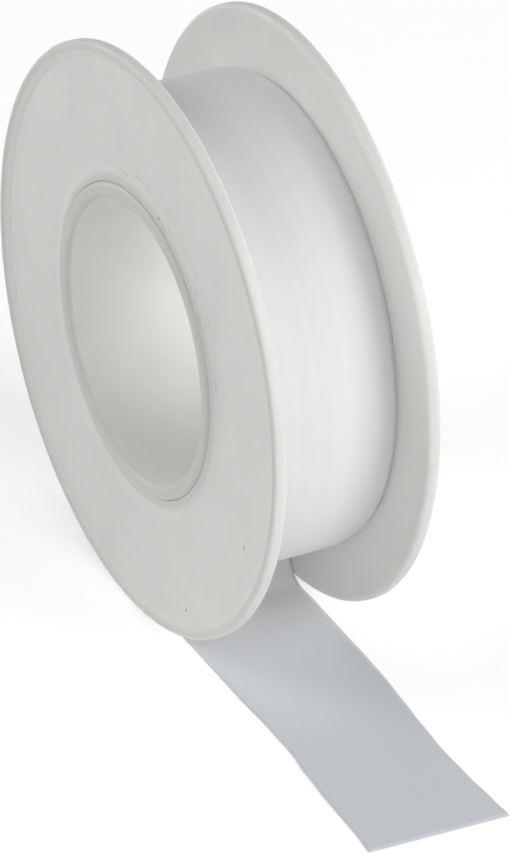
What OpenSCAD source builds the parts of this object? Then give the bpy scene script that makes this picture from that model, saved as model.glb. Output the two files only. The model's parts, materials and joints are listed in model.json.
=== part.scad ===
// Thread seal tape roll, in millimetres: a plastic spool made of a core tube and two
// pressed-on flanges, wound with thin tape whose free end lies on the floor beside it.
// The roll stands on its two rims. +Y runs along the spool axis from the front flange
// to the rear one, +X is the way the free end runs and +Z is up.
// The origin is the middle of the bore.

/* [Tape] */
// Width of the tape
tape_w = 12; // [9:0.5:25]
// Thickness of the tape
tape_t = 0.076; // [0.05:0.002:0.12]
// Height of the wound turns under the outermost one, from the tube out
winding_h = 5.53; // [3:0.01:7]
// Clearance between the outermost turn and the turns under it
turn_gap = 0.15; // [0.1:0.01:0.3]
// Angle that the outermost turn goes round the winding, in degrees
turn_angle = 353; // [320:1:355]
// Steepest slope of the tape on its way down to the floor, in degrees
drop_angle = 90; // [45:1:95]
// Length of the free end that lies on the floor
free_l = 35.7; // [20:0.1:120]
// Clearance of the free end over the floor
floor_gap = 0.03; // [0.02:0.01:0.1]

/* [Core tube] */
// Diameter of the bore that goes on a finger or a spindle
bore_d = 23.5; // [20:0.5:27]
// Wall of the tube ends that the flanges are pressed on
tube_wall = 1.3; // [1.1:0.1:2.5]
// How far the tube ends stand out past the rims
tube_proud = 0.25; // [0.05:0.05:0.6]
// Height of the shoulder between the flanges, which the tape is wound on
shoulder_h = 0.9; // [0.4:0.1:1.5]
// Rounding of the tube's end edges
tube_round = 0.45; // [0.2:0.05:0.5]
// Clearance in the press seats and under the winding
fit_gap = 0.02; // [0.01:0.01:0.05]

/* [Flanges] */
// Outer diameter of both flanges
flange_d = 49; // [46:0.5:70]
// Clearance between the tape's edges and the flanges
side_gap = 0.2; // [0.1:0.05:0.6]
// Thickness of a flange between its rim and its hole
web_t = 0.75; // [0.5:0.05:1]
// Thickness of a flange at its rim, with the raised bead on the outer side
rim_t = 1.2; // [1.1:0.05:1.8]
// Width of the raised bead at its foot
bead_w = 1.4; // [1:0.1:2]
// Width of the raised bead at its crest
crest_w = 0.55; // [0.5:0.05:0.9]
// Rounding of the rim's edges
rim_round = 0.42; // [0.2:0.02:0.44]
// Bevel at the outer end of a flange's hole, seen as a line round the tube end
hole_bevel = 0.15; // [0.05:0.05:0.3]

/* [Hidden] */
round_steps = 96;
turn_steps = 120;
bend_steps = 16;
winding_w = tape_w + 2 * side_gap;
flange_r = flange_d / 2;
bore_r = bore_d / 2;
tube_end_r = bore_r + tube_wall;
hole_r = tube_end_r + fit_gap;
shoulder_r = tube_end_r + shoulder_h;
tube_l = winding_w + 2 * (rim_t + tube_proud);
turns_inner_r = shoulder_r + fit_gap;
// The tape's middle line: the outermost turn, the floor and the two bends between them
turn_r = turns_inner_r + winding_h + turn_gap + tape_t / 2;
floor_z = floor_gap + tape_t / 2 - flange_r;
bend_r = (-floor_z - turn_r) / (2 * (1 - cos(drop_angle)));
bend_run = bend_r * sin(drop_angle);
// The turn ends straight under the axis, heading along +X, where the upper bend begins
turn_end = 270;
bend_top = 90;

// The outermost turn starts above the upper bend: the least gap of the tape to itself
turn_start = turn_r * [cos(turn_end - turn_angle), sin(turn_end - turn_angle)];
bend_line = [for (a = [0:drop_angle]) [bend_r * sin(a), bend_r * (cos(a) - 1) - turn_r]];
echo(least_gap_of_tape_to_itself = min([for (p = bend_line) norm(p - turn_start)]) - tape_t);

// A rectangle with four round corners, its low corner at the origin
module rounded(width, height, corner) {
    translate([corner, 0]) square([width - 2 * corner, height]);
    translate([0, corner]) square([width, height - 2 * corner]);
    for (x = [corner, width - corner], y = [corner, height - corner])
        translate([x, y]) circle(r = corner, $fn = round_steps);
}

// Turns a section, drawn as radius and distance along the axis, about the Y axis
module turned() {
    rotate([-90, 0, 0]) rotate_extrude($fn = round_steps) children();
}

// A flange's section, from its inner face outwards: the web, the bead's slope and the round rim
module flange_section() {
    polygon([
        [hole_r, 0],
        [flange_r - crest_w, 0],
        [flange_r - crest_w, rim_t],
        [flange_r - bead_w, web_t],
        [hole_r + hole_bevel, web_t],
        [hole_r, web_t - hole_bevel]
    ]);
    translate([flange_r - crest_w - rim_round, 0]) rounded(crest_w + rim_round, rim_t, rim_round);
}

module rear_flange() {
    color([0.93, 0.93, 0.92])
    translate([0, winding_w / 2, 0]) turned() flange_section();
}

module front_flange() {
    mirror([0, 1, 0]) rear_flange();
}

// The tube runs through both flanges, and its shoulder keeps them apart
module core_tube() {
    color([0.9, 0.9, 0.89])
    turned() {
        translate([bore_r, -tube_l / 2]) rounded(tube_wall, tube_l, tube_round);
        translate([bore_r + tube_wall / 2, -winding_w / 2])
            square([tube_wall / 2 + shoulder_h, winding_w]);
    }
}

// The wound turns, a plain core under the outermost turn
module tape_turns() {
    color([0.96, 0.96, 0.97])
    turned() translate([turns_inner_r, -tape_w / 2]) square([winding_h, tape_w]);
}

// Points on an arc round a middle, from one angle to another
function arc(middle, radius, from, to, steps) =
    [for (i = [0:steps]) middle + radius * [cos(from + (to - from) * i / steps),
                                            sin(from + (to - from) * i / steps)]];

// One face of the tape, seen along the axis, at a distance outside its middle line
function face(out) = concat(
    arc([0, 0], turn_r + out, turn_end - turn_angle, turn_end, turn_steps),
    arc([0, -turn_r - bend_r], bend_r - out, bend_top, bend_top - drop_angle, bend_steps),
    arc([2 * bend_run, floor_z + bend_r], bend_r + out, turn_end - drop_angle, turn_end, bend_steps),
    [[2 * bend_run + free_l, floor_z - out]]
);

// The outermost turn, the two bends down to the floor and the free end, in one strip
module tape_end() {
    outside = face(tape_t / 2);
    inside = face(-tape_t / 2);
    last = len(inside) - 1;
    color([0.95, 0.95, 0.97])
    rotate([90, 0, 0]) linear_extrude(tape_w, center = true)
        polygon(concat(outside, [for (i = [0:last]) inside[last - i]]));
}

front_flange();
rear_flange();
core_tube();
tape_turns();
tape_end();
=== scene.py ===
# %% [markdown]
# # A roll of thread seal tape
# Plumbers wind this thin white film round a pipe thread before they screw the joint home.
# The roll is a plastic spool, made of a core tube and two flanges, with the film wound
# between them and its free end lying on the table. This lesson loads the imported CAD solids
# as a fixed frame, then dresses each of them with a finer mesh and a finish of its own.

import json
import math

import bmesh
import bpy
from mathutils import Matrix, Vector, noise


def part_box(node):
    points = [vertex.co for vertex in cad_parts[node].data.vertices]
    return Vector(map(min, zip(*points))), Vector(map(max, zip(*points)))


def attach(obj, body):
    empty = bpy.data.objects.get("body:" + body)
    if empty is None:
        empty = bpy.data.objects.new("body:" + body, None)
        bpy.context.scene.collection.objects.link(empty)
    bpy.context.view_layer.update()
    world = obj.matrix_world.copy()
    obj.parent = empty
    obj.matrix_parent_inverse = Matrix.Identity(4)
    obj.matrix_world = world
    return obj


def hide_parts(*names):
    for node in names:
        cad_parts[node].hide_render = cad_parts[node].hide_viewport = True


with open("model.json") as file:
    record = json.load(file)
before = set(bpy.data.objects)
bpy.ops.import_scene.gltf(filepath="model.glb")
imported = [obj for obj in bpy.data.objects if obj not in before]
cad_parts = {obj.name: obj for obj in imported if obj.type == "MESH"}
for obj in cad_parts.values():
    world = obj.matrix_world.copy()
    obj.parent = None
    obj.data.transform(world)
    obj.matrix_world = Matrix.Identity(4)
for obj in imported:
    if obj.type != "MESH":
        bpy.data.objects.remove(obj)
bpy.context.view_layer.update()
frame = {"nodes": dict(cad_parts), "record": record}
print("nodes", sorted(frame["nodes"]))

# %% [markdown]
# ## Sizes
# A size comes from the frame wherever the frame can tell it. A node's box gives its outer
# radius and its ends, and the bore's radius is stated in the record. What a box can't
# tell, such as a wall or a rounding, is repeated here from the CAD source, in millimetres.

# %% Sizes from the frame
MM = 0.001
flange_low, flange_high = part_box("rear_flange")
film_low, film_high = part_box("tape_end")
tube_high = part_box("core_tube")[1]
turns_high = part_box("tape_turns")[1]

flange_r = flange_high.z
inner_y = flange_low.y
crest_y = flange_high.y
tube_end_y = tube_high.y
shoulder_r = tube_high.z
turns_r = turns_high.z
film_w = film_high.y - film_low.y
floor_z = flange_low.z
bore_r = frame["record"]["mounts"][0]["dims"]["r_mm"] * MM
print(f"flange radius {flange_r / MM:.2f}, bore radius {bore_r / MM:.2f}, film width {film_w / MM:.2f} mm")

# %% Sizes from the CAD source
WEB_T = 0.75 * MM
BEAD_W = 1.4 * MM
CREST_W = 0.55 * MM
RIM_ROUND = 0.42 * MM
TUBE_WALL = 1.3 * MM
TUBE_ROUND = 0.45 * MM
FIT_GAP = 0.02 * MM
FILM_T = 0.076 * MM
TURN_GAP = 0.15 * MM
FILM_FLOOR_GAP = 0.03 * MM
tube_end_r = bore_r + TUBE_WALL
web_y = inner_y + WEB_T
print(f"tube end radius {tube_end_r / MM:.2f}, web {web_y / MM:.2f} mm from the middle")

# %% [markdown]
# ## Camera
# The reference was taken from far away with a long lens, from the right of the front flange
# and a third of the way up. So the camera is placed by its direction, and its lens follows
# from how many pixels a millimetre of the roll takes up. A little roll tips the picture.

# %% Camera
PICTURE_W, PICTURE_H = 509, 855
SENSOR_MM = 36.0
CAMERA_AZIMUTH = math.radians(61.97)
CAMERA_ELEVATION = math.radians(32.88)
CAMERA_ROLL = math.radians(2.09)
CAMERA_DISTANCE = 1.6
PIXELS_PER_MM = 12.555
ORIGIN_PIXEL = (218.25, 320.71)

towards = Vector((
    math.sin(CAMERA_AZIMUTH) * math.cos(CAMERA_ELEVATION),
    -math.cos(CAMERA_AZIMUTH) * math.cos(CAMERA_ELEVATION),
    math.sin(CAMERA_ELEVATION),
))
level = Vector((math.cos(CAMERA_AZIMUTH), math.sin(CAMERA_AZIMUTH), 0.0))
upright = towards.cross(level)
picture_right = level * math.cos(CAMERA_ROLL) + upright * math.sin(CAMERA_ROLL)
picture_up = upright * math.cos(CAMERA_ROLL) - level * math.sin(CAMERA_ROLL)

metres_per_pixel = MM / PIXELS_PER_MM
beside = (PICTURE_W / 2 - ORIGIN_PIXEL[0]) * metres_per_pixel
above = (ORIGIN_PIXEL[1] - PICTURE_H / 2) * metres_per_pixel
place = picture_right * beside + picture_up * above + towards * CAMERA_DISTANCE

camera_data = bpy.data.cameras.new("camera")
camera_data.sensor_fit = "VERTICAL"
camera_data.sensor_height = SENSOR_MM
camera_data.lens = SENSOR_MM * CAMERA_DISTANCE / (PICTURE_H * metres_per_pixel)
camera = bpy.data.objects.new("camera", camera_data)
facing = Matrix((picture_right, picture_up, towards)).transposed()
camera.matrix_world = Matrix.Translation(place) @ facing.to_4x4()
bpy.context.scene.collection.objects.link(camera)
bpy.context.scene.camera = camera
bpy.context.scene.view_settings.view_transform = "Standard"
print(f"camera {CAMERA_DISTANCE} m away with a {camera_data.lens:.0f} mm lens")

# %% [markdown]
# ## Floor and light
# The roll stands on a wide pale floor. To the camera the floor also glows a little, so it
# comes out white where nothing shades it, and the soft shadow round the roll still shows.
# The light is plain studio light from eight soft boxes that stand round the roll: strong ones
# at the right, low behind the roll, before its front flange and at the left, and weaker ones
# between them and overhead. They and the pale floor fill every side, so the world adds very
# little.

# %% A small kit for node trees
def add_node(tree, kind, at, **values):
    """Adds a node at a place and sets its properties, or else its inputs, by name."""
    node = tree.nodes.new(kind)
    node.location = at
    for key, value in values.items():
        if hasattr(node, key):
            setattr(node, key, value)
        else:
            node.inputs[key.replace("_", " ")].default_value = value
    return node


def join(tree, *links):
    """Links pairs of (node, output) and (node, input)."""
    for (giver, output), (taker, socket) in links:
        tree.links.new(giver.outputs[output], taker.inputs[socket])


def seen_rays(tree, at):
    """An output that is 1 for rays that show a surface, straight, mirrored or through glass."""
    path = add_node(tree, "ShaderNodeLightPath", at)
    seen = (path, "Is Camera Ray")
    for step, ray in enumerate(("Is Glossy Ray", "Is Transmission Ray"), start=1):
        wider = add_node(tree, "ShaderNodeMath", (at[0] + 200 * step, at[1]), operation="MAXIMUM")
        join(tree, (seen, (wider, 0)), ((path, ray), (wider, 1)))
        seen = (wider, 0)
    return seen


# %% Floor
FLOOR_SIDE = 6.0
FLOOR_COLOR = (0.93, 0.93, 0.93, 1.0)
FLOOR_GLOW = 0.45

floor_mesh = bpy.data.meshes.new("floor")
bm = bmesh.new()
bmesh.ops.create_grid(bm, x_segments=1, y_segments=1, size=FLOOR_SIDE / 2)
bmesh.ops.translate(bm, verts=bm.verts, vec=(0, 0, floor_z))
bm.to_mesh(floor_mesh)
bm.free()
floor = bpy.data.objects.new("floor", floor_mesh)
bpy.context.scene.collection.objects.link(floor)

floor_finish = bpy.data.materials.new("pale_floor")
floor_finish.use_nodes = True
tree = floor_finish.node_tree
tree.nodes.clear()
seen = seen_rays(tree, (-900, -100))
glow_level = add_node(tree, "ShaderNodeMath", (-300, -100), operation="MULTIPLY")
glow_level.inputs[1].default_value = FLOOR_GLOW
glow = add_node(tree, "ShaderNodeEmission", (-100, -100))
matt = add_node(tree, "ShaderNodeBsdfDiffuse", (-100, 100), Color=FLOOR_COLOR)
both = add_node(tree, "ShaderNodeAddShader", (100, 0))
output = add_node(tree, "ShaderNodeOutputMaterial", (300, 0))
join(
    tree,
    (seen, (glow_level, 0)), ((glow_level, 0), (glow, "Strength")),
    ((matt, 0), (both, 0)), ((glow, 0), (both, 1)), ((both, 0), (output, "Surface")),
)
floor_mesh.materials.append(floor_finish)
print("floor at", round(floor_z / MM, 2), "mm")

# %% World
WORLD_LIGHT = 0.02

world = bpy.data.worlds.new("studio")
bpy.context.scene.world = world
world.use_nodes = True
tree = world.node_tree
tree.nodes.clear()
seen = seen_rays(tree, (-900, 0))
brightness = add_node(tree, "ShaderNodeMix", (-300, 0), data_type="FLOAT")
brightness.inputs["A"].default_value = WORLD_LIGHT
brightness.inputs["B"].default_value = 1.0
glow = add_node(tree, "ShaderNodeBackground", (-100, 0), Color=(1.0, 1.0, 1.0, 1.0))
output = add_node(tree, "ShaderNodeOutputWorld", (100, 0))
join(
    tree,
    (seen, (brightness, "Factor")), ((brightness, "Result"), (glow, "Strength")),
    ((glow, 0), (output, "Surface")),
)
print("world light", WORLD_LIGHT)

# %% Soft boxes
BOX_DISTANCE = 1.0
BOX_SIDE = 0.5


def soft_box(name, azimuth, elevation, watts):
    """A square lamp that faces the roll, placed by its angles from +X towards +Y and upwards."""
    light = bpy.data.lights.new(name, "AREA")
    light.shape = "SQUARE"
    light.size = BOX_SIDE
    light.energy = watts
    lamp = bpy.data.objects.new(name, light)
    a, e = math.radians(azimuth), math.radians(elevation)
    ray = Vector((math.cos(a) * math.cos(e), math.sin(a) * math.cos(e), math.sin(e)))
    turned = ray.to_track_quat("Z", "Y").to_matrix().to_4x4()
    lamp.matrix_world = Matrix.Translation(ray * BOX_DISTANCE) @ turned
    bpy.context.scene.collection.objects.link(lamp)


SOFT_BOXES = {
    "key_box": (30, 35, 3.15),
    "low_key_box": (30, 8, 2.4),
    "front_box": (-105, 35, 2.4),
    "right_box": (-15, 35, 1.35),
    "low_right_box": (-45, 8, 1.25),
    "left_box": (-150, 8, 2.2),
    "high_box": (180, 65, 0.9),
    "back_box": (90, 8, 2.9),
}
for name, (azimuth, elevation, watts) in SOFT_BOXES.items():
    soft_box(name, azimuth, elevation, watts)

# %% [markdown]
# ## Spinning a section
# The spool's mouldings are round, so each of them starts as its closed section, a few corner
# points in a half plane, that is spun once about the Y axis. The corners are rounded
# afterwards, ring by ring, with the bevel operator, which keeps the section itself simple.

# %% Helpers for turned pieces
TURN_STEPS = 240
NEAR = 0.002 * MM


def spun(section):
    """A closed section of (radius, y) corners, spun once about the Y axis."""
    bm = bmesh.new()
    corners = [bm.verts.new((radius, y, 0.0)) for radius, y in section]
    sides = [bm.edges.new(pair) for pair in zip(corners, corners[1:] + corners[:1])]
    bmesh.ops.spin(
        bm, geom=corners + sides, cent=(0, 0, 0), axis=(0, 1, 0),
        angle=2 * math.pi, steps=TURN_STEPS, use_merge=True,
    )
    bmesh.ops.remove_doubles(bm, verts=bm.verts, dist=NEAR)
    bmesh.ops.recalc_face_normals(bm, faces=bm.faces)
    return bm


def off_axis(vert):
    return math.hypot(vert.co.x, vert.co.z)


def round_ring(bm, radius, y, width, segments=6):
    """Rounds the ring of edges at one corner of the section."""
    ring = [
        e for e in bm.edges
        if all(abs(off_axis(v) - radius) < NEAR and abs(v.co.y - y) < NEAR for v in e.verts)
    ]
    bmesh.ops.bevel(
        bm, geom=ring, offset=width, offset_type="OFFSET", affect="EDGES",
        segments=segments, profile=0.5, material=-1, clamp_overlap=True,
    )


def cut_rings(bm, inner, outer, cuts):
    """Divides the faces that reach from within one radius to beyond another into rings."""
    radial = [
        e for e in bm.edges
        if min(map(off_axis, e.verts)) < inner and max(map(off_axis, e.verts)) > outer
    ]
    bmesh.ops.subdivide_edges(bm, edges=radial, cuts=cuts, use_grid_fill=True)


def finished(bm, name, body, slot, *nodes):
    """Makes the bmesh an object that stands for CAD nodes and moves with a body."""
    mesh = bpy.data.meshes.new(name)
    bm.to_mesh(mesh)
    bm.free()
    mesh.shade_smooth()
    piece = bpy.data.objects.new(name, mesh)
    bpy.context.scene.collection.objects.link(piece)
    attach(piece, body)
    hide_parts(*nodes)
    print(name, "has", len(mesh.polygons), "faces")
    return piece


# %% [markdown]
# ## Flanges
# Each flange is a thin moulded disc. A raised bead with a sloping inner side stiffens its
# rim, and its hole is pressed tight over the end of the core tube, where the web rises to a
# low hub with a soft foot. A shallow groove round the hole shows where the tube begins. A few
# of the section's points lie just beside a corner: they hold the flat stretches flat when the
# shading is smoothed. A moulded disc is never quite flat, so a slow noise moves the web by a
# few hundredths of a millimetre, and the light varies over it. Only the inner face stays flat
# where the winding touches it.

# %% Flange
SEAT_GAP = 0.006 * MM
CREST_ROUND = 0.07 * MM
FOOT_ROUND = 0.07 * MM
HUB_W = 1.5 * MM
HUB_RISE = 0.5 * MM
HUB_ROUND = 0.5 * MM
GROOVE_W = 0.3 * MM
GROOVE_DEPTH = 0.08 * MM
GROOVE_ROUND = 0.2 * MM
HOLD = 0.08 * MM
WEB_CUTS = 14
WARP = 0.03 * MM
WARP_SIZE = 14 * MM

hole_r = tube_end_r + SEAT_GAP


def flange(name, side, seed, node):
    """A flange at one end of the spool: side -1 is the front and 1 the rear."""
    foot_r = flange_r - BEAD_W
    bm = spun([
        (hole_r, inner_y),
        (flange_r - RIM_ROUND - HOLD, inner_y),
        (flange_r, inner_y),
        (flange_r, crest_y),
        (flange_r - CREST_W, crest_y),
        (foot_r, web_y),
        (foot_r - FOOT_ROUND - HOLD, web_y),
        (hole_r + HUB_W + HUB_ROUND + HOLD, web_y),
        (hole_r + HUB_W, web_y),
        (hole_r + GROOVE_W, web_y + HUB_RISE),
        (hole_r, web_y + HUB_RISE - GROOVE_DEPTH),
    ])
    cut_rings(bm, hole_r + HUB_W + HUB_ROUND + 2 * HOLD, foot_r - FOOT_ROUND - 2 * HOLD, WEB_CUTS)
    round_ring(bm, flange_r, inner_y, RIM_ROUND)
    round_ring(bm, flange_r, crest_y, RIM_ROUND)
    round_ring(bm, flange_r - CREST_W, crest_y, CREST_ROUND, segments=3)
    round_ring(bm, foot_r, web_y, FOOT_ROUND, segments=3)
    round_ring(bm, hole_r + HUB_W, web_y, HUB_ROUND)
    round_ring(bm, hole_r + GROOVE_W, web_y + HUB_RISE, GROOVE_ROUND, segments=4)
    for vert in bm.verts:
        if vert.co.y > inner_y + NEAR or off_axis(vert) > turns_r:
            spot = Vector((vert.co.x, seed * WARP_SIZE, vert.co.z)) / WARP_SIZE
            vert.co.y += WARP * noise.noise(spot)
    if side < 0:
        bmesh.ops.scale(bm, verts=bm.verts, vec=(1, -1, 1))
        bmesh.ops.reverse_faces(bm, faces=bm.faces)
    return finished(bm, name, "spool", "flange_plastic", node)


front_flange = flange("front_flange_moulding", -1, 0.4, "front_flange")
rear_flange = flange("rear_flange_moulding", 1, 7.7, "rear_flange")

# %% [markdown]
# ## Core tube
# The tube runs right through the spool. Its ends come through the flanges, stand a little
# proud of the rims and show as a soft-edged ring round the bore. The shoulder between them
# carries the winding and keeps the flanges apart. The lip has a few nicks, so a fine noise
# pushes some of its vertices in a little, most of all on one side.

# %% Core tube
OUTER_ROUND = TUBE_ROUND * 0.9
NICK = 0.07 * MM
NICK_SIZE = 0.9 * MM
NICK_SIDE = Vector((-1.0, 0.0, -0.3)).normalized()

tube_bm = spun([
    (bore_r, -tube_end_y),
    (tube_end_r, -tube_end_y),
    (tube_end_r, -inner_y),
    (shoulder_r, -inner_y),
    (shoulder_r, inner_y),
    (tube_end_r, inner_y),
    (tube_end_r, tube_end_y),
    (bore_r, tube_end_y),
])
for end in (-tube_end_y, tube_end_y):
    round_ring(tube_bm, bore_r, end, TUBE_ROUND, segments=8)
    round_ring(tube_bm, tube_end_r, end, OUTER_ROUND)
for vert in tube_bm.verts:
    at_end = abs(vert.co.y) > tube_end_y - TUBE_ROUND / 2
    if at_end and off_axis(vert) < bore_r + TUBE_ROUND + NEAR:
        facing_side = max(0.0, Vector((vert.co.x, 0, vert.co.z)).normalized().dot(NICK_SIDE)) ** 2
        bump = noise.noise(vert.co / NICK_SIZE)
        vert.co.y -= math.copysign(NICK * facing_side * max(0.0, bump), vert.co.y)
core_tube = finished(tube_bm, "core_tube_moulding", "spool", "tube_plastic", "core_tube")

# %% [markdown]
# ## Wound turns
# Under the outermost turn lie all the others. Film wanders a little as it is wound, so the
# turns fill the width between the flanges, and the pack's shoulders are rounded off. A ring
# with sloping, rounded shoulders shows just that in the narrow valley beside each flange. A low
# lip stands for the turns that wandered out past the last one. It falls away to the flange and
# fills the slit beside the film.

# %% Wound turns
SIDE_GAP = 0.004 * MM
EDGE_CURL = 0.5 * MM
LIP_GAP = 0.006 * MM
LIP_FALL = 0.16 * MM
SHOULDER_W = 1.9 * MM
SHOULDER_DROP = 0.5 * MM
SHOULDER_ROUND = 0.8 * MM
# How much of the film's UV length the ring takes up: less than the film's own turn does
TURN_SHARE = 0.7

side_y = inner_y - SIDE_GAP
lip_y = film_w / 2 + LIP_GAP
lip_r = turns_r + TURN_GAP + FILM_T - EDGE_CURL
turns_bm = spun([
    (shoulder_r + FIT_GAP, -side_y),
    (lip_r - LIP_FALL, -side_y),
    (lip_r, -lip_y),
    (turns_r - SHOULDER_DROP, -lip_y),
    (turns_r, -side_y + SHOULDER_W),
    (turns_r, side_y - SHOULDER_W),
    (turns_r - SHOULDER_DROP, lip_y),
    (lip_r, lip_y),
    (lip_r - LIP_FALL, side_y),
    (shoulder_r + FIT_GAP, side_y),
])
for shoulder_y in (-side_y + SHOULDER_W, side_y - SHOULDER_W):
    round_ring(turns_bm, turns_r, shoulder_y, SHOULDER_ROUND, segments=4)
turns_uv = turns_bm.loops.layers.uv.new("film")
for face in turns_bm.faces:
    middle = face.calc_center_median()
    for loop in face.loops:
        point = loop.vert.co
        aside = Vector((middle.x, middle.z)).angle_signed(Vector((point.x, point.z)))
        turn = (math.atan2(middle.z, middle.x) - aside) / (2 * math.pi) + 0.5
        loop[turns_uv].uv = (point.y / film_w + 0.5, turn * TURN_SHARE)
wound_turns = finished(turns_bm, "wound_turns", "spool", "tape_film", "tape_turns")

# %% [markdown]
# ## Outermost turn and free end
# The last turn of film goes once round the winding, leaves it underneath, drops to the floor
# in two bends and lies flat. Film is a sheet, so one row of vertices across its width is
# spun round the winding, spun through each bend and extruded along the floor. Two
# vertex layers keep where each point lies on the flat film, because the finish follows it.

# %% Path of the film
TURN_ANGLE = math.radians(353)
DROP_ANGLE = math.radians(90)
TURN_START = 1.5 * math.pi - TURN_ANGLE

film_turn_r = turns_r + TURN_GAP + FILM_T / 2
film_floor_z = floor_z + FILM_FLOOR_GAP + FILM_T / 2
bend_r = (-film_floor_z - film_turn_r) / (2 * (1 - math.cos(DROP_ANGLE)))
bend_run = bend_r * math.sin(DROP_ANGLE)
free_length = film_high.x - 2 * bend_run
turn_length = film_turn_r * TURN_ANGLE
bend_length = bend_r * DROP_ANGLE
film_length = turn_length + 2 * bend_length + free_length
print(f"film {film_length / MM:.1f} mm long, and {free_length / MM:.1f} mm of it lies on the floor")

# %% Strip of film
ROW_CUTS = 36
TURN_ROWS = 220
BEND_ROWS = 16
FREE_ROWS = 72

film_bm = bmesh.new()
along_layer = film_bm.verts.layers.float.new("along")
across_layer = film_bm.verts.layers.float.new("across")
start = Vector((math.cos(TURN_START), 0, math.sin(TURN_START))) * film_turn_r
row = [
    film_bm.verts.new(start + Vector((0, film_w * (i / ROW_CUTS - 0.5), 0)))
    for i in range(ROW_CUTS + 1)
]
for vert in row:
    vert[across_layer] = vert.co.y
strip = row + [film_bm.edges.new(pair) for pair in zip(row, row[1:])]
travelled = 0.0


def mark_rows(known, begin, step):
    """Gives each new row of vertices its distance along the film."""
    film_bm.verts.ensure_lookup_table()
    for number, vert in enumerate(film_bm.verts[known:]):
        vert[along_layer] = begin + step * (1 + number // (ROW_CUTS + 1))


bends = [
    ((0, 0, 0), (0, -1, 0), TURN_ANGLE, TURN_ROWS, turn_length),
    ((0, 0, -film_turn_r - bend_r), (0, 1, 0), DROP_ANGLE, BEND_ROWS, bend_length),
    ((2 * bend_run, 0, film_floor_z + bend_r), (0, -1, 0), DROP_ANGLE, BEND_ROWS, bend_length),
]
for middle, axis, angle, rows, length in bends:
    known = len(film_bm.verts)
    made = bmesh.ops.spin(film_bm, geom=strip, cent=middle, axis=axis, angle=angle, steps=rows)
    strip = made["geom_last"]
    mark_rows(known, travelled, length / rows)
    travelled += length
for _ in range(FREE_ROWS):
    known = len(film_bm.verts)
    edges = [e for e in strip if isinstance(e, bmesh.types.BMEdge)]
    strip = bmesh.ops.extrude_edge_only(film_bm, edges=edges)["geom"]
    moved = [v for v in strip if isinstance(v, bmesh.types.BMVert)]
    bmesh.ops.translate(film_bm, verts=moved, vec=(free_length / FREE_ROWS, 0, 0))
    mark_rows(known, travelled, free_length / FREE_ROWS)
    travelled += free_length / FREE_ROWS
print("rows", len(film_bm.verts) // (ROW_CUTS + 1), "and length", round(travelled / MM, 2), "mm")

# %% [markdown]
# ## The way the film lies
# Wound film hugs the pack: its edges curl in over the pack's shoulders, and the turn's start
# sinks onto the turn below. The free end was pulled and cut, so its two edges wander, it is a
# little narrower two thirds of the way along, and it ripples where it doesn't touch the floor.
# How far each edge strays was measured off the reference at a few places along it.

# %% The way the film lies
CURL_W = 2.3 * MM
SETTLE_LENGTH = 12 * MM
RIPPLE = 0.10 * MM
RIPPLE_SIZE = 8 * MM
RIPPLE_SLANT = 0.5
RIPPLE_START = 4 * MM
FRONT_EDGE = [
    (3, 0.0), (9, 0.16), (17, 0.23), (21, 0.38), (25, 0.41),
    (29, 0.08), (33, -0.09), (37, -0.13), (41, -0.36),
]
REAR_EDGE = [
    (3, 0.0), (7, 0.15), (15, 0.19), (19, 0.15), (22.5, -0.02),
    (26, -0.23), (30, -0.37), (34, -0.23), (38, 0.0), (41, 0.2),
]


def eased(share):
    """A share between nought and one that starts and stops gently."""
    share = min(1.0, max(0.0, share))
    return share * share * (3 - 2 * share)


def strays(knots, x):
    """How far an edge of the free end strays along +Y at a place along +X, from knots in mm."""
    for (x0, y0), (x1, y1) in zip(knots, knots[1:]):
        if x < x1 * MM:
            return MM * (y0 + (y1 - y0) * eased((x / MM - x0) / (x1 - x0)))
    return knots[-1][1] * MM


for vert in film_bm.verts:
    along, across = vert[along_layer], vert[across_layer]
    if along <= turn_length + NEAR:
        leaving = eased((turn_length - along) / SETTLE_LENGTH)
        near_edge = max(0.0, 1 - (film_w / 2 - abs(across)) / CURL_W)
        sunk = TURN_GAP * (1 - eased(along / SETTLE_LENGTH)) + EDGE_CURL * leaving * near_edge ** 2
        vert.co.xz *= 1 - sunk / film_turn_r
    else:
        rear_share = across / film_w + 0.5
        x = vert.co.x
        vert.co.y += strays(FRONT_EDGE, x) * (1 - rear_share) + strays(REAR_EDGE, x) * rear_share
        on_floor = eased((x - 2 * bend_run) / RIPPLE_START)
        lift = 0.5 + 0.5 * noise.noise(Vector((x, RIPPLE_SLANT * across, 0.0)) / RIPPLE_SIZE)
        vert.co.z += RIPPLE * on_floor * lift
film_uv = film_bm.loops.layers.uv.new("film")
for face in film_bm.faces:
    for loop in face.loops:
        vert = loop.vert
        loop[film_uv].uv = (vert[across_layer] / film_w + 0.5, vert[along_layer] / film_length)
bmesh.ops.recalc_face_normals(film_bm, faces=film_bm.faces)
outer_film = finished(film_bm, "outer_turn_and_free_end", "free_tape", "tape_film", "tape_end")
thickness = outer_film.modifiers.new("film_thickness", "SOLIDIFY")
thickness.thickness = FILM_T
thickness.offset = 0.0

# %% [markdown]
# ## Effects for the finishes
# A moulding is not one even white. It is faintly cloudy where the melt cooled, has a fine
# grain from the mould and a few dark specks, and handling scuffs it round the hub. The film
# has fine streaks along its length, because it was stretched that way. Each effect is a node
# group that puts out masks, so the plastics can place the same group with their own values.

# %% Group kit
def new_group(name, inputs, outputs):
    """An empty shader node group with its sockets, and its two end nodes."""
    group = bpy.data.node_groups.new(name, "ShaderNodeTree")
    for socket, kind in inputs.items():
        group.interface.new_socket(socket, in_out="INPUT", socket_type=kind)
    for socket in outputs:
        group.interface.new_socket(socket, in_out="OUTPUT", socket_type="NodeSocketFloat")
    taken = add_node(group, "NodeGroupInput", (-900, 0))
    given = add_node(group, "NodeGroupOutput", (700, 0))
    return group, taken, given


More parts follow.
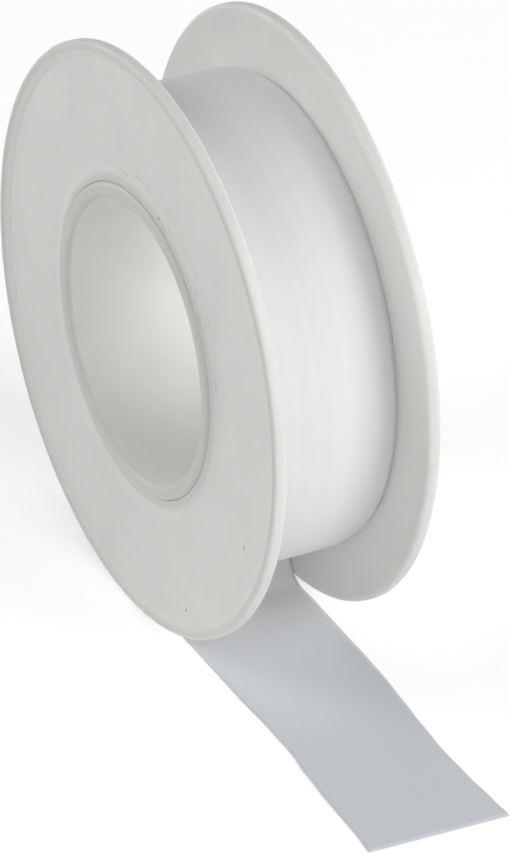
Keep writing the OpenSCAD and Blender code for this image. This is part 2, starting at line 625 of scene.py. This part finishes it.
def place_group(tree, group, at, **values):
    """Adds a node group to a tree and sets its inputs by name."""
    node = add_node(tree, "ShaderNodeGroup", at, node_tree=group)
    for key, value in values.items():
        node.inputs[key].default_value = value
    return node


def remapped(tree, at, low, high, to_low=0.0, to_high=1.0):
    """A Map Range node that eases from one value to another and stays there."""
    node = add_node(tree, "ShaderNodeMapRange", at, interpolation_type="SMOOTHSTEP")
    sockets = ("From Min", "From Max", "To Min", "To Max")
    for socket, value in zip(sockets, (low, high, to_low, to_high)):
        node.inputs[socket].default_value = value
    return node


# %% Moulded skin
CLOUD_RANGE = (0.35, 0.65)
SPECK_EDGE = (0.03, 0.055)
SPECK_SHARE = 0.84

skin, taken, given = new_group(
    "moulded_skin",
    {
        "Point": "NodeSocketVector", "Clouds": "NodeSocketFloat",
        "Grains": "NodeSocketFloat", "Specks": "NodeSocketFloat",
    },
    ["Cloud", "Grain", "Speck"],
)
cloud = add_node(skin, "ShaderNodeTexNoise", (-500, 300), Detail=4.0, Roughness=0.6)
cloud_range = remapped(skin, (-200, 300), *CLOUD_RANGE)
grain = add_node(skin, "ShaderNodeTexNoise", (-500, 0), Detail=2.0)
cells = add_node(skin, "ShaderNodeTexVoronoi", (-500, -300))
speck_size = remapped(skin, (-200, -200), *SPECK_EDGE, to_low=1.0, to_high=0.0)
channels = add_node(skin, "ShaderNodeSeparateColor", (-200, -450))
chosen = add_node(skin, "ShaderNodeMath", (50, -450), operation="GREATER_THAN")
chosen.inputs[1].default_value = SPECK_SHARE
speck = add_node(skin, "ShaderNodeMath", (300, -300), operation="MULTIPLY")
join(
    skin,
    ((taken, "Point"), (cloud, "Vector")), ((taken, "Clouds"), (cloud, "Scale")),
    ((taken, "Point"), (grain, "Vector")), ((taken, "Grains"), (grain, "Scale")),
    ((taken, "Point"), (cells, "Vector")), ((taken, "Specks"), (cells, "Scale")),
    ((cloud, 0), (cloud_range, "Value")), ((cloud_range, 0), (given, "Cloud")),
    ((grain, 0), (given, "Grain")),
    ((cells, "Distance"), (speck_size, "Value")), ((cells, "Color"), (channels, 0)),
    ((channels, "Red"), (chosen, 0)), ((chosen, 0), (speck, 0)), ((speck_size, 0), (speck, 1)),
    ((speck, 0), (given, "Speck")),
)
print("group", skin.name, "gives", [s.name for s in given.inputs if s.name])

# %% Hub scuffs
MARK_LENGTH = 2.4 * MM
MARK_WIDTH = 0.24 * MM
MARK_RADIUS = 14 * MM
MARK_RANGE = (0.55, 0.67)
SIDE_RANGE = (0.2, 0.8)

scuffs, taken, given = new_group(
    "hub_scuffs",
    {
        "Point": "NodeSocketVector", "Inner": "NodeSocketFloat",
        "Outer": "NodeSocketFloat", "Middle": "NodeSocketFloat",
    },
    ["Scuff"],
)
parts = add_node(scuffs, "ShaderNodeSeparateXYZ", (-700, 0))
flat = add_node(scuffs, "ShaderNodeCombineXYZ", (-500, 200))
radius = add_node(scuffs, "ShaderNodeVectorMath", (-300, 200), operation="LENGTH")
angle = add_node(scuffs, "ShaderNodeMath", (-500, -100), operation="ARCTAN2")
arc = add_node(scuffs, "ShaderNodeMath", (-300, -100), operation="MULTIPLY")
arc.inputs[1].default_value = MARK_RADIUS / MARK_LENGTH
across = add_node(scuffs, "ShaderNodeMath", (-300, 50), operation="MULTIPLY")
across.inputs[1].default_value = 1 / MARK_WIDTH
spot = add_node(scuffs, "ShaderNodeCombineXYZ", (-100, 0))
marks = add_node(scuffs, "ShaderNodeTexNoise", (80, 0), Scale=1.0, Detail=4.0, Roughness=0.6)
clear_marks = remapped(scuffs, (260, 0), *MARK_RANGE)
beyond = add_node(scuffs, "ShaderNodeMapRange", (80, 400), interpolation_type="SMOOTHSTEP")
aside = add_node(scuffs, "ShaderNodeMath", (-300, -300), operation="SUBTRACT")
turned = add_node(scuffs, "ShaderNodeMath", (-100, -300), operation="COSINE")
on_side = remapped(scuffs, (80, -300), *SIDE_RANGE)
first = add_node(scuffs, "ShaderNodeMath", (450, 150), operation="MULTIPLY")
second = add_node(scuffs, "ShaderNodeMath", (560, 0), operation="MULTIPLY")
beyond.inputs["To Min"].default_value = 1.0
beyond.inputs["To Max"].default_value = 0.0
join(
    scuffs,
    ((taken, "Point"), (parts, 0)),
    ((parts, "X"), (flat, "X")), ((parts, "Z"), (flat, "Z")), ((flat, 0), (radius, 0)),
    ((parts, "Z"), (angle, 0)), ((parts, "X"), (angle, 1)), ((angle, 0), (arc, 0)),
    ((radius, "Value"), (across, 0)), ((arc, 0), (spot, "X")), ((across, 0), (spot, "Y")),
    ((spot, 0), (marks, "Vector")), ((marks, 0), (clear_marks, "Value")),
    ((taken, "Inner"), (beyond, "From Min")), ((taken, "Outer"), (beyond, "From Max")),
    ((radius, "Value"), (beyond, "Value")), ((angle, 0), (aside, 0)), ((taken, "Middle"), (aside, 1)),
    ((aside, 0), (turned, 0)), ((turned, 0), (on_side, "Value")),
    ((clear_marks, 0), (first, 0)), ((beyond, 0), (first, 1)),
    ((first, 0), (second, 0)), ((on_side, 0), (second, 1)), ((second, 0), (given, "Scuff")),
)
print("group", scuffs.name, "gives", [s.name for s in given.inputs if s.name])

# %% Film streaks
STREAK_STRETCH = (1.0, 0.012, 1.0)
STREAK_RANGE = (0.3, 0.7)
WAVE_STRETCH = (0.25, 0.9, 1.0)
WAVE_SCALE = 0.35

streaks, taken, given = new_group(
    "film_streaks",
    {"Place": "NodeSocketVector", "Finest": "NodeSocketFloat"},
    ["Streak", "Ripple"],
)
drawn = add_node(streaks, "ShaderNodeVectorMath", (-600, 200), operation="MULTIPLY")
drawn.inputs[1].default_value = STREAK_STRETCH
fine = add_node(streaks, "ShaderNodeTexNoise", (-300, 200), Detail=3.0, Roughness=0.65)
fine_range = remapped(streaks, (0, 200), *STREAK_RANGE)
wide = add_node(streaks, "ShaderNodeVectorMath", (-600, -200), operation="MULTIPLY")
wide.inputs[1].default_value = WAVE_STRETCH
ripple = add_node(streaks, "ShaderNodeTexNoise", (-300, -200), Scale=WAVE_SCALE, Detail=2.0)
join(
    streaks,
    ((taken, "Place"), (drawn, 0)), ((drawn, 0), (fine, "Vector")), ((taken, "Finest"), (fine, "Scale")),
    ((fine, 0), (fine_range, "Value")), ((fine_range, 0), (given, "Streak")),
    ((taken, "Place"), (wide, 0)), ((wide, 0), (ripple, "Vector")), ((ripple, 0), (given, "Ripple")),
)
print("group", streaks.name, "gives", [s.name for s in given.inputs if s.name])

# %% [markdown]
# ## Plastic finishes
# The spool is an off-white plastic, soft to the light: a little light sinks in and comes out
# again close by. The flanges and the tube are separate mouldings, so each has its own
# finish with its own shade, clouds and scuffs, made by one function. Painted shade darkens
# the plastic near the outer end planes: the tube's lips, and the flanges' hubs and crests.

# %% Kit for finishes
# A Mix node has one set of sockets for each kind of data, so its colour sockets go by number
COLOR_A, COLOR_B, COLOR_OUT = 6, 7, 2


def new_finish(name):
    """A node material with a Principled shader."""
    finish = bpy.data.materials.new(name)
    finish.use_nodes = True
    tree = finish.node_tree
    tree.nodes.clear()
    output = add_node(tree, "ShaderNodeOutputMaterial", (900, 0))
    shader = add_node(tree, "ShaderNodeBsdfPrincipled", (600, 0))
    join(tree, ((shader, "BSDF"), (output, "Surface")))
    return finish, tree, shader


def shaded(tree, at, under, over):
    """A colour mix from one colour to another. A colour that comes from a node is linked later."""
    node = add_node(tree, "ShaderNodeMix", at, data_type="RGBA")
    for socket, color in ((COLOR_A, under), (COLOR_B, over)):
        if color is not None:
            node.inputs[socket].default_value = color
    return node


# %% Plastic finishes
SPECK_COLOR = (0.32, 0.28, 0.23, 1.0)
SPECK_SPACING = 3.2 * MM
SCUFF_COLOR = (0.55, 0.54, 0.52, 1.0)
SCUFF_SHARE = 0.6
SCUFF_DEPTH = 0.03 * MM
# Painted shade near the outer end planes: its colour and how deep it reaches
LIP_SHADE_COLOR = (0.72, 0.715, 0.69, 1.0)
LIP_DEPTH = 0.5 * MM
GRAIN_SIZE = 0.22 * MM
GRAIN_DEPTH = 0.02 * MM
PLASTIC_ROUGHNESS = (0.34, 0.44)
PLASTIC_SPECULAR = 0.4
LIGHT_DEPTH = 0.3 * MM
LIGHT_DEPTH_SHARES = (1.0, 0.95, 0.8)


def plastic(name, color, clouded, clouds, scuff_inner, scuff_outer, scuff_middle):
    """An off-white moulded plastic. Sizes are in metres and the angle is from +X towards +Z."""
    finish, tree, shader = new_finish(name)
    where = add_node(tree, "ShaderNodeTexCoord", (-900, 0))
    look = place_group(
        tree, skin, (-650, 200),
        Clouds=1 / clouds, Grains=1 / GRAIN_SIZE, Specks=1 / SPECK_SPACING,
    )
    worn = place_group(
        tree, scuffs, (-650, -200),
        Inner=scuff_inner, Outer=scuff_outer, Middle=math.radians(scuff_middle),
    )
    clouding = shaded(tree, (-350, 300), color, clouded)
    speckling = shaded(tree, (-100, 300), None, SPECK_COLOR)
    faint = add_node(tree, "ShaderNodeMath", (-350, -300), operation="MULTIPLY")
    faint.inputs[1].default_value = SCUFF_SHARE
    scuffing = shaded(tree, (150, 300), None, SCUFF_COLOR)
    parts = add_node(tree, "ShaderNodeSeparateXYZ", (-650, 600))
    height = add_node(tree, "ShaderNodeMath", (-450, 600), operation="ABSOLUTE")
    # Painted shade: darker towards the end planes, on the tube's lips, the hubs and the crests
    painted_lip_shade = remapped(tree, (-250, 600), tube_end_y - LIP_DEPTH, tube_end_y - LIP_DEPTH / 3)
    lip = shaded(tree, (400, 300), None, LIP_SHADE_COLOR)
    gloss = remapped(tree, (-100, 0), 0.0, 1.0, *PLASTIC_ROUGHNESS)
    grained = add_node(tree, "ShaderNodeBump", (100, -200), Strength=0.06, Distance=GRAIN_DEPTH)
    dented = add_node(
        tree, "ShaderNodeBump", (350, -250), Strength=0.7, Distance=SCUFF_DEPTH, invert=True,
    )
    join(
        tree,
        ((where, "Object"), (look, "Point")), ((where, "Object"), (worn, "Point")),
        ((look, "Cloud"), (clouding, 0)),
        ((look, "Speck"), (speckling, 0)), ((clouding, COLOR_OUT), (speckling, COLOR_A)),
        ((worn, "Scuff"), (faint, 0)),
        ((faint, 0), (scuffing, 0)), ((speckling, COLOR_OUT), (scuffing, COLOR_A)),
        ((where, "Object"), (parts, 0)), ((parts, "Y"), (height, 0)), ((height, 0), (painted_lip_shade, "Value")),
        ((painted_lip_shade, 0), (lip, 0)), ((scuffing, COLOR_OUT), (lip, COLOR_A)),
        ((lip, COLOR_OUT), (shader, "Base Color")),
        ((look, "Cloud"), (gloss, "Value")), ((gloss, 0), (shader, "Roughness")),
        ((look, "Grain"), (grained, "Height")), ((worn, "Scuff"), (dented, "Height")),
        ((grained, 0), (dented, "Normal")), ((dented, 0), (shader, "Normal")),
    )
    shader.inputs["Subsurface Weight"].default_value = 1.0
    shader.inputs["Subsurface Radius"].default_value = LIGHT_DEPTH_SHARES
    shader.inputs["Subsurface Scale"].default_value = LIGHT_DEPTH
    shader.inputs["Specular IOR Level"].default_value = PLASTIC_SPECULAR
    return finish


flange_finish = plastic(
    "flange_plastic", color=(0.885, 0.88, 0.86, 1.0), clouded=(0.865, 0.86, 0.838, 1.0), clouds=7 * MM,
    scuff_inner=13.6 * MM, scuff_outer=16.0 * MM, scuff_middle=72,
)
tube_finish = plastic(
    "tube_plastic", color=(0.885, 0.88, 0.862, 1.0), clouded=(0.865, 0.856, 0.832, 1.0), clouds=5 * MM,
    scuff_inner=12.6 * MM, scuff_outer=13.2 * MM, scuff_middle=75,
)
for piece in (front_flange, rear_flange):
    piece.data.materials.append(flange_finish)
core_tube.data.materials.append(tube_finish)
print("plastics", flange_finish.name, tube_finish.name)

# %% [markdown]
# ## Film finish
# Sealing film is soft, waxy and cold white. It lies dull on the floor, and fine streaks run
# along it. The streaks follow the film round the winding, so they read the film's own UV
# map, scaled to millimetres, and not a place in space. On the winding many layers lie on each
# other, while the free end is a single layer. Past the second bend the free end eases into a
# darker, colder colour: painted shade, which evens it out with the drop in the roll's shadow.

# %% Film finish
FILM_COLOR = (0.888, 0.892, 0.90, 1.0)
STREAK_COLOR = (0.91, 0.914, 0.922, 1.0)
# Painted shade: the darker, colder colour of the free end on the floor
FREE_END_SHADE_COLOR = (0.785, 0.812, 0.853, 1.0)
FREE_END_SHADE_RAMP = 10 * MM
STREAKS_PER_MM = 1.1
STREAK_DEPTH = 0.02 * MM
WAVE_DEPTH = 0.12 * MM
FILM_ROUGHNESS = (0.42, 0.52)
FILM_SPECULAR = 0.27

film_finish, tree, shader = new_finish("sealing_film")
where = add_node(tree, "ShaderNodeUVMap", (-900, 0), uv_map="film")
place_mm = add_node(tree, "ShaderNodeVectorMath", (-700, 0), operation="MULTIPLY")
place_mm.inputs[1].default_value = (film_w / MM, film_length / MM, 1.0)
look = place_group(tree, streaks, (-450, 0), Finest=STREAKS_PER_MM)
tinting = shaded(tree, (-100, 250), FILM_COLOR, STREAK_COLOR)
parts = add_node(tree, "ShaderNodeSeparateXYZ", (-700, 450))
floor_start = turn_length + 2 * bend_length
floor_share = floor_start / film_length
# Painted shade: eases in over the first stretch where the film lies on the floor
free_end_shade_mask = remapped(tree, (-450, 450), floor_share, (floor_start + FREE_END_SHADE_RAMP) / film_length)
free_end_shading = shaded(tree, (150, 250), None, FREE_END_SHADE_COLOR)
gloss = remapped(tree, (-100, 0), 0.0, 1.0, *FILM_ROUGHNESS)
drawn_lines = add_node(tree, "ShaderNodeBump", (100, -200), Strength=0.17, Distance=STREAK_DEPTH)
rippled = add_node(tree, "ShaderNodeBump", (350, -250), Strength=0.15, Distance=WAVE_DEPTH)
join(
    tree,
    ((where, 0), (place_mm, 0)), ((place_mm, 0), (look, "Place")),
    ((where, 0), (parts, 0)), ((parts, "Y"), (free_end_shade_mask, "Value")), ((free_end_shade_mask, 0), (free_end_shading, 0)),
    ((look, "Streak"), (tinting, 0)), ((tinting, COLOR_OUT), (free_end_shading, COLOR_A)),
    ((free_end_shading, COLOR_OUT), (shader, "Base Color")),
    ((look, "Streak"), (gloss, "Value")), ((gloss, 0), (shader, "Roughness")),
    ((look, "Streak"), (drawn_lines, "Height")), ((look, "Ripple"), (rippled, "Height")),
    ((drawn_lines, 0), (rippled, "Normal")), ((rippled, 0), (shader, "Normal")),
)
shader.inputs["Specular IOR Level"].default_value = FILM_SPECULAR
for piece in (wound_turns, outer_film):
    piece.data.materials.append(film_finish)
print("film", film_finish.name)
